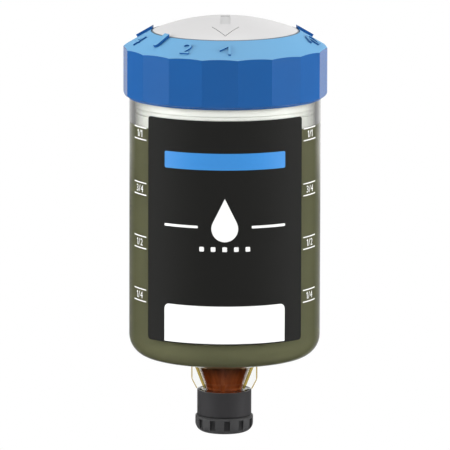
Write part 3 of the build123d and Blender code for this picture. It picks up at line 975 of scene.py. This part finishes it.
levels = {
    "marks": {"1/1": 75.4, "3/4": 60.05, "1/2": 45.1, "1/4": 30.3},
    "azimuths": (-62.3, 62.3),
    "halfWidth": 7.6,  # degrees
    "lineHeight": 0.3,
    "spacing": 3.3,
    "figureHeight": 1.9,
    "flag": 0.16,
    "gap": 0.17,
    "strip": 0.5,
    "lift": 0.005,  # off the wall
    "ink": 0.02,
}


def levelMarks():
    part = levels
    radius = outerR + part["lift"]
    width = 2 * math.radians(part["halfWidth"]) * radius
    for side, azimuth in zip(("Left", "Right"), part["azimuths"]):
        meshes = []
        for fraction, lineZ in part["marks"].items():
            lows = (lineZ - part["lineHeight"] / 2, lineZ - part["spacing"] - part["lineHeight"] / 2)
            lines = [panelOutline(width, low, low + part["lineHeight"], [0] * 4) for low in lows]
            meshes.append(wrapped(flatPlate(lines, part["ink"]), radius, azimuth))
            figures = figureRow(fraction, part["figureHeight"], part["ink"], part["flag"], part["gap"])
            meshes.append(wrapped(figures, radius, azimuth, lineZ - part["spacing"] / 2, part["strip"]))
        newPiece(f"levelMarks{side}", joined(meshes), whiteInk, "housing")


levelMarks()
print("stage 4: label and level marks")

# Cover ring: the faceted moulding, and the figures that stand up from its slope

# ABS moulded in a polished tool: a deep even blue that shines softly. Its top is textured finer,
# so it is rougher, and its upward faces are painted paler blue, as painted light from above.
ringLook = {
    "colour": "#195494",
    "shade": "#17508E",
    "upper": "#5E9AC4",
    "roughness": 0.2,
    "upperRoughness": 0.6,
    "ior": 1.53,
    "grain": 0.35,
    "relief": 0.02,
}
scale = {
    "figures": (1, 2, 4, 6, 8, 10, 12),
    "pitch": 25.5,
    "height": 4.3,
    "rise": 0.45,
    "sink": 0.2,
    "flag": 0.55,
    "gap": 0.1,
    "middleR": 24.3,
    "overhang": 1.75,  # of the ring's cusps past the container
    "slopeZ": 96.0,  # the slope's lower edge
    "slopeRun": 7.65,
    "slopeRise": 4.5,
}
ringPlastic = mouldedPlastic("absSatinBlue", ringLook)


def scaleFigures():
    # each figure lies on the slope at its own position and reads from outside
    part = scale
    lean = math.atan2(part["slopeRise"], part["slopeRun"])
    openingR = outerR + part["overhang"] - part["slopeRun"]
    fall = (part["middleR"] - openingR) * math.tan(lean)
    middleZ = part["slopeZ"] + part["slopeRise"] - fall
    meshes = []
    for figure in part["figures"]:
        turn = math.radians((figure - 1) * part["pitch"])
        outward = Vector((-math.sin(turn), -math.cos(turn), 0))
        across = Vector((math.cos(turn), -math.sin(turn), 0))
        upward = -outward * math.cos(lean) + Vector((0, 0, math.sin(lean)))
        normal = outward * math.sin(lean) + Vector((0, 0, math.cos(lean)))
        place = outward * part["middleR"] + Vector((0, 0, middleZ)) - normal * part["sink"]
        thickness = part["rise"] + part["sink"]
        mesh = figureRow(str(figure), part["height"], thickness, part["flag"], part["gap"])
        matrix = Matrix((across, upward, normal)).transposed().to_4x4()
        matrix.translation = place
        bmesh.ops.transform(mesh, matrix=matrix, verts=mesh.verts)
        meshes.append(mesh)
    return newPiece("scaleFigures", joined(meshes), ringPlastic, "housing")


dress("top_ring", ringPlastic)
scaleFigures()
print("stage 5: cover ring and scale")

# Dial, outlet cap and the white mouldings inside

# ABS moulded pale grey: satin, with a soft broad shine over the dome
dialLook = {
    "colour": "#CAC9C9",
    "shade": "#C6C5C5",
    "roughness": 0.36,
    "ior": 1.5,
    "grain": 0.3,
    "relief": 0.015,
}
# polyethylene moulded black: waxy and rather dull, greyer where light falls from above
capLook = {
    "colour": "#333234",
    "shade": "#2D2C2E",
    "upper": "#5A5A5C",
    "roughness": 0.42,
    "ior": 1.49,
    "grain": 0.25,
    "relief": 0.03,
}
# polypropylene moulded white: bright and slightly waxy
whiteLook = {
    "colour": "#F6F6F3",
    "shade": "#F2F2EE",
    "roughness": 0.4,
    "ior": 1.5,
    "grain": 0.4,
    "relief": 0.02,
}
# nitrile rubber moulded in rings: near black and matt
rubberLook = {
    "colour": "#161616",
    "shade": "#1C1C1C",
    "roughness": 0.55,
    "ior": 1.52,
    "grain": 0.2,
    "relief": 0.03,
}
# silicone rubber moulded white: softer looking than the piston it seals
siliconeLook = {
    "colour": "#F8F8F5",
    "shade": "#F4F4F1",
    "roughness": 0.5,
    "ior": 1.43,
    "grain": 0.3,
    "relief": 0.02,
}
# polyethylene grains sintered into a disc: chalky, with visible pores
porousLook = {
    "colour": "#F0EFEA",
    "shade": "#DEDCD4",
    "roughness": 0.8,
    "ior": 1.35,
    "grain": 0.15,
    "relief": 0.08,
}
# ceramic dipped in lacquer: beige with a soft gloss
ceramicLook = {
    "colour": "#C9B087",
    "shade": "#BFA478",
    "roughness": 0.4,
    "ior": 1.6,
    "grain": 0.5,
    "relief": 0.02,
}
# drawn steel under nickel plate, rolled nickel strip and rolled phosphor bronze: grey, warm grey
# and brown gold, each with its scratches along the way it was drawn
steelLook = {
    "colour": "#C4C4C1",
    "shade": "#B2B2AE",
    "roughness": 0.28,
    "grain": 0.3,
    "stretch": (1, 1, 8),
}
nickelLook = {
    "colour": "#CBC6B8",
    "shade": "#B9B3A2",
    "roughness": 0.3,
    "grain": 0.3,
    "stretch": (1, 8, 1),
}
bronzeLook = {
    "colour": "#C79A5B",
    "shade": "#B5884B",
    "roughness": 0.3,
    "grain": 0.25,
    "stretch": (8, 1, 1),
}
# glass-epoxy laminate under green lacquer, with tinned contacts
boardLook = {
    "colour": "#1B6B3B",
    "shade": "#186235",
    "contactColour": "#D8C9A0",
    "weave": 0.8,
    "roughness": 0.35,
    "topZ": 91.93,  # the board's upper face, under the contacts
}
dialMarks = {
    "rise": 4.0,  # of the dome
    "deep": 0.5,  # how far under it the engraving may lie
    "shallow": 0.03,
    "shaftFrom": -10.5,  # the chevron is in front of this and the shaft behind
    "rimLine": 0.35,
    # painted shade in the engraved arrow and in the gap round the dial's rim
    "paintedShaftShade": "#BDBDBD",
    "paintedChevronShade": "#3C3E42",
    "paintedRimShade": "#56626C",
}
dialHigh = boxOf("dial")[1]


def dialTones(tree, place, colour):
    # painted shade: darker grey in the engraved arrow, paler in its shaft, and a dark line round the rim
    # where the gap to the ring lies
    part = dialMarks
    rimR = dialHigh.x
    rise = part["rise"]
    ballR = (rimR**2 + rise**2) / (2 * rise)
    centre = Vector((0, 0, dialHigh.z - ballR)) * mm
    out = addNode(tree, "ShaderNodeVectorMath", {0: place, 1: centre}, operation="DISTANCE")
    depth = within(tree, out.outputs["Value"], ballR - part["deep"], ballR - part["shallow"])
    behind = addNode(tree, "ShaderNodeSeparateXYZ", {"Vector": place}).outputs["Y"]
    shaft = within(tree, behind, part["shaftFrom"], rimR)
    chevron = within(tree, behind, -rimR, part["shaftFrom"])
    rim = within(tree, fromAxis(tree, place), rimR - part["rimLine"], rimR + 1)
    colour = toned(tree, colour, [depth, shaft], part["paintedShaftShade"])
    colour = toned(tree, colour, [depth, chevron], part["paintedChevronShade"])
    return toned(tree, colour, [rim], part["paintedRimShade"])


capMarks = {
    "gripR": 8.05,
    "shallow": 0.42,
    "grooves": (-10.85, -8.0),  # these three are heights
    "grip": (-13.0, -7.28),
    "foot": (-7.25, -6.95),
    # painted shade at the skirt's foot and on the grooves' floors, and a painted sheen on the grip
    "dark": "#181819",
    "floor": "#272728",
    "paintedGripSheen": "#3D3D3E",
}


def capTones(tree, place, colour):
    # painted shade: near black where no light gets in, in the grooves of the grip and at the skirt's foot;
    # and the grip is painted a little paler, as a painted sheen on its ridges
    part = capMarks
    height = addNode(tree, "ShaderNodeSeparateXYZ", {"Vector": place}).outputs["Z"]
    radius = fromAxis(tree, place)
    floors = within(tree, radius, 0, part["gripR"] - part["shallow"])
    colour = toned(tree, colour, [within(tree, height, *part["grip"])], part["paintedGripSheen"])
    colour = toned(tree, colour, [floors, within(tree, height, *part["grooves"])], part["floor"])
    return toned(tree, colour, [within(tree, height, *part["foot"])], part["dark"])


whitePlastic = mouldedPlastic("polypropyleneWhite", whiteLook)
rubber = mouldedPlastic("nitrileRubberBlack", rubberLook)
steel = drawnMetal("nickelPlatedSteelDrawn", steelLook)
bronze = drawnMetal("phosphorBronzeRolled", bronzeLook)
finishes = {
    "dial": mouldedPlastic("absSatinPaleGrey", dialLook, dialTones),
    "outlet_cap": mouldedPlastic("polyethyleneBlack", capLook, capTones),
    "piston": whitePlastic,
    "inner_cover": whitePlastic,
    "piston_seal": mouldedPlastic("siliconeRubberWhite", siliconeLook),
    "cover_seal": rubber,
    "dial_seal": rubber,
    "gas_membrane": mouldedPlastic("sinteredPolyethylene", porousLook),
    "gas_cell_1": steel,
    "gas_cell_2": steel,
    "gas_cell_3": steel,
    "cell_straps": drawnMetal("nickelStripRolled", nickelLook),
    "circuit_board": boardLaminate(boardLook),
    "timing_resistors": mouldedPlastic("lacqueredCeramic", ceramicLook),
    "board_screws": steel,
    "detent_spring": steel,
    "dial_clip": steel,
    "selector_wiper": bronze,
}
for node, material in finishes.items():
    dress(node, material)
print("stage 6: dial, cap and inner pieces")

# Studio: white surroundings behind, dimmer in front, soft lamps above and in front

studio = {
    "floorDrop": 75.0,
    "floorSize": 6000.0,
    "shadowR": 320.0,  # round the object, where the floor takes its shadow
    "shadowWhite": 0.8,  # how much of its plain white the floor keeps there
    "mottle": 60.0,
    "floorTones": ("#F4F4F4", "#EFEFEF"),
    "ambient": 0.58,
    "sides": 8.0,
    "sidesFrom": 0.78,  # how far to the side they start and are full, as a share of straight sideways
    "sidesFull": 0.97,
    "clearBehind": 0.6,  # from here on, as a share of straight back, clear pieces show white
    "front": 0.06,  # what glossy pieces see up to dimTo, as a share of straight back
    "dimTo": 0.72,
    "whiteFrom": 0.95,
    "leftShare": 0.6,
    "leftTo": -0.1,
    "rightFrom": 0.15,
    "nearShare": 0.35,  # the floor up to darkTo, in reflections, as a share of what is past paleFrom
    "darkTo": 850.0,
    "paleFrom": 1000.0,
    "lamps": {
        "above": {"place": (0, 240, 650), "size": (400, 280), "radiance": 3.0},
        "front": {"place": (0, -900, 430), "size": (560, 260), "radiance": 3.5},
    },
    "target": (0, 0, 50),
}


def byRay(tree, plain, mirrored, through, seen):
    # a value that differs for light in general, for reflections, through clear pieces and seen
    path = addNode(tree, "ShaderNodeLightPath")
    rays = {"Is Glossy Ray": mirrored, "Is Transmission Ray": through, "Is Camera Ray": seen}
    for ray, value in rays.items():
        plain = addNode(tree, "ShaderNodeMix", {"Factor": path.outputs[ray], "A": plain, "B": value})
    return plain


def inReflections(tree, direction):
    # dim in front, white straight behind, and dimmer on the left than on the right
    part = studio
    parts = addNode(tree, "ShaderNodeSeparateXYZ", {"Vector": direction})
    behind = {"From Min": part["dimTo"], "From Max": part["whiteFrom"], "To Min": part["front"]}
    backdrop = addNode(tree, "ShaderNodeMapRange", {"Value": parts.outputs["Y"], **behind})
    across = {"From Min": part["leftTo"], "From Max": part["rightFrom"], "To Min": part["leftShare"]}
    right = addNode(tree, "ShaderNodeMapRange", {"Value": parts.outputs["X"], **across})
    return addNode(tree, "ShaderNodeMath", {0: backdrop, 1: right}, operation="MULTIPLY")


def paleFloor():
    # matt white round the object, where it takes the shadow, and plain white farther off.
    # Mirrored it is dim in front of the object, and through clear pieces white behind it.
    part = studio
    material, tree, place = newMaterial("paleSweep")
    mottle = addNode(tree, "ShaderNodeTexNoise", {"Vector": place, "Scale": perMetre(part["mottle"])})
    pale, darker = part["floorTones"]
    tones = {"Factor": mottle, "A": srgb(pale), "B": srgb(darker)}
    colour = addNode(tree, "ShaderNodeMix", tones, data_type="RGBA")
    cloth = addNode(tree, "ShaderNodeBsdfDiffuse", {"Color": colour})
    away = addNode(tree, "ShaderNodeVectorMath", {0: place}, operation="LENGTH").outputs["Value"]
    reach = {"From Min": 0.0, "From Max": part["shadowR"] * mm, "To Min": part["shadowWhite"]}
    whiteness = addNode(tree, "ShaderNodeMapRange", {"Value": away, **reach})
    behind = addNode(tree, "ShaderNodeSeparateXYZ", {"Vector": place}).outputs["Y"]
    rear = {"From Min": 0.0, "From Max": part["shadowR"] * mm}
    backdrop = addNode(tree, "ShaderNodeMapRange", {"Value": behind, **rear})
    bearing = addNode(tree, "ShaderNodeVectorMath", {0: place}, operation="NORMALIZE")
    far = {"From Min": part["darkTo"] * mm, "From Max": part["paleFrom"] * mm, "To Min": part["nearShare"]}
    reached = addNode(tree, "ShaderNodeMapRange", {"Value": away, **far})
    dim = {0: inReflections(tree, bearing), 1: reached}
    mirrored = addNode(tree, "ShaderNodeMath", dim, operation="MULTIPLY")
    strength = byRay(tree, 1.0, mirrored, 1.0, 1.0)
    white = addNode(tree, "ShaderNodeEmission", {"Color": (1, 1, 1, 1), "Strength": strength})
    share = byRay(tree, 0.0, 1.0, backdrop, whiteness)
    mixed = addNode(tree, "ShaderNodeMixShader", {0: share, 1: cloth, 2: white})
    addNode(tree, "ShaderNodeOutputMaterial", {"Surface": mixed})
    half = part["floorSize"] / 2 * mm
    floorZ = frameBox[0][2] - part["floorDrop"] * mm
    data = bpy.data.meshes.new("floor")
    corners = [(-half, -half, floorZ), (half, -half, floorZ), (half, half, floorZ), (-half, half, floorZ)]
    data.from_pydata(corners, [], [(0, 1, 2, 3)])
    data.materials.append(material)
    floor = bpy.data.objects.new("floor", data)
    bpy.context.scene.collection.objects.link(floor)


def surroundings():
    # light from all round, more of it from the sides, with a white backdrop behind the object.
    # Glossy pieces see a dim room in front, which leaves their colours deep.
    part = studio
    world = bpy.data.worlds.new("studio")
    bpy.context.scene.world = world
    world.use_nodes = True
    tree = world.node_tree
    tree.nodes.clear()
    direction = addNode(tree, "ShaderNodeTexCoord").outputs["Generated"]
    parts = addNode(tree, "ShaderNodeSeparateXYZ", {"Vector": direction})
    across = addNode(tree, "ShaderNodeMath", {0: parts.outputs["X"]}, operation="ABSOLUTE")
    sides = {"From Min": part["sidesFrom"], "From Max": part["sidesFull"]}
    sides.update({"To Min": part["ambient"], "To Max": part["ambient"] + part["sides"]})
    ambient = addNode(tree, "ShaderNodeMapRange", {"Value": across, **sides})
    back = {"Value": parts.outputs["Y"], "From Min": 0.0, "From Max": part["clearBehind"]}
    backdrop = addNode(tree, "ShaderNodeMapRange", back)
    through = addNode(tree, "ShaderNodeMix", {"Factor": backdrop, "A": ambient, "B": 1.0})
    mirrored = inReflections(tree, direction)
    strength = byRay(tree, ambient, mirrored, through, 1.0)
    light = addNode(tree, "ShaderNodeBackground", {"Color": (1, 1, 1, 1), "Strength": strength})
    addNode(tree, "ShaderNodeOutputWorld", {"Surface": light})


def lamps():
    target = Vector(studio["target"]) * mm
    for name, part in studio["lamps"].items():
        data = bpy.data.lights.new(name, "AREA")
        data.shape = "RECTANGLE"
        data.size, data.size_y = (side * mm for side in part["size"])
        data.energy = part["radiance"] * math.pi * data.size * data.size_y
        lamp = bpy.data.objects.new(name, data)
        lamp.location = Vector(part["place"]) * mm
        lamp.rotation_euler = (target - lamp.location).to_track_quat("-Z", "Y").to_euler()
        bpy.context.scene.collection.objects.link(lamp)


camera = {
    "distance": 2050.0,
    "elevation": 9.35,
    "target": (0.06, 0, 46.07),
    "field": 124.95,  # width of the view at the object's axis
    "sensor": 36.0,
    "roll": 0.17,
}


def viewCamera():
    part = camera
    data = bpy.data.cameras.new("camera")
    rise = math.radians(part["elevation"])
    target = Vector(part["target"]) * mm
    place = target + Vector((0, -math.cos(rise), math.sin(rise))) * part["distance"] * mm
    data.sensor_width = part["sensor"]
    data.lens = part["sensor"] * part["distance"] / part["field"]
    data.clip_start = 0.05
    eye = bpy.data.objects.new("camera", data)
    turn = (target - place).to_track_quat("-Z", "Y").to_matrix().to_4x4()
    roll = Matrix.Rotation(math.radians(part["roll"]), 4, "Z")
    eye.matrix_world = Matrix.Translation(place) @ turn @ roll
    bpy.context.scene.collection.objects.link(eye)
    bpy.context.scene.camera = eye


paleFloor()
surroundings()
lamps()
viewCamera()
bpy.context.scene.view_settings.view_transform = "Standard"
print("stage 7: studio and camera")
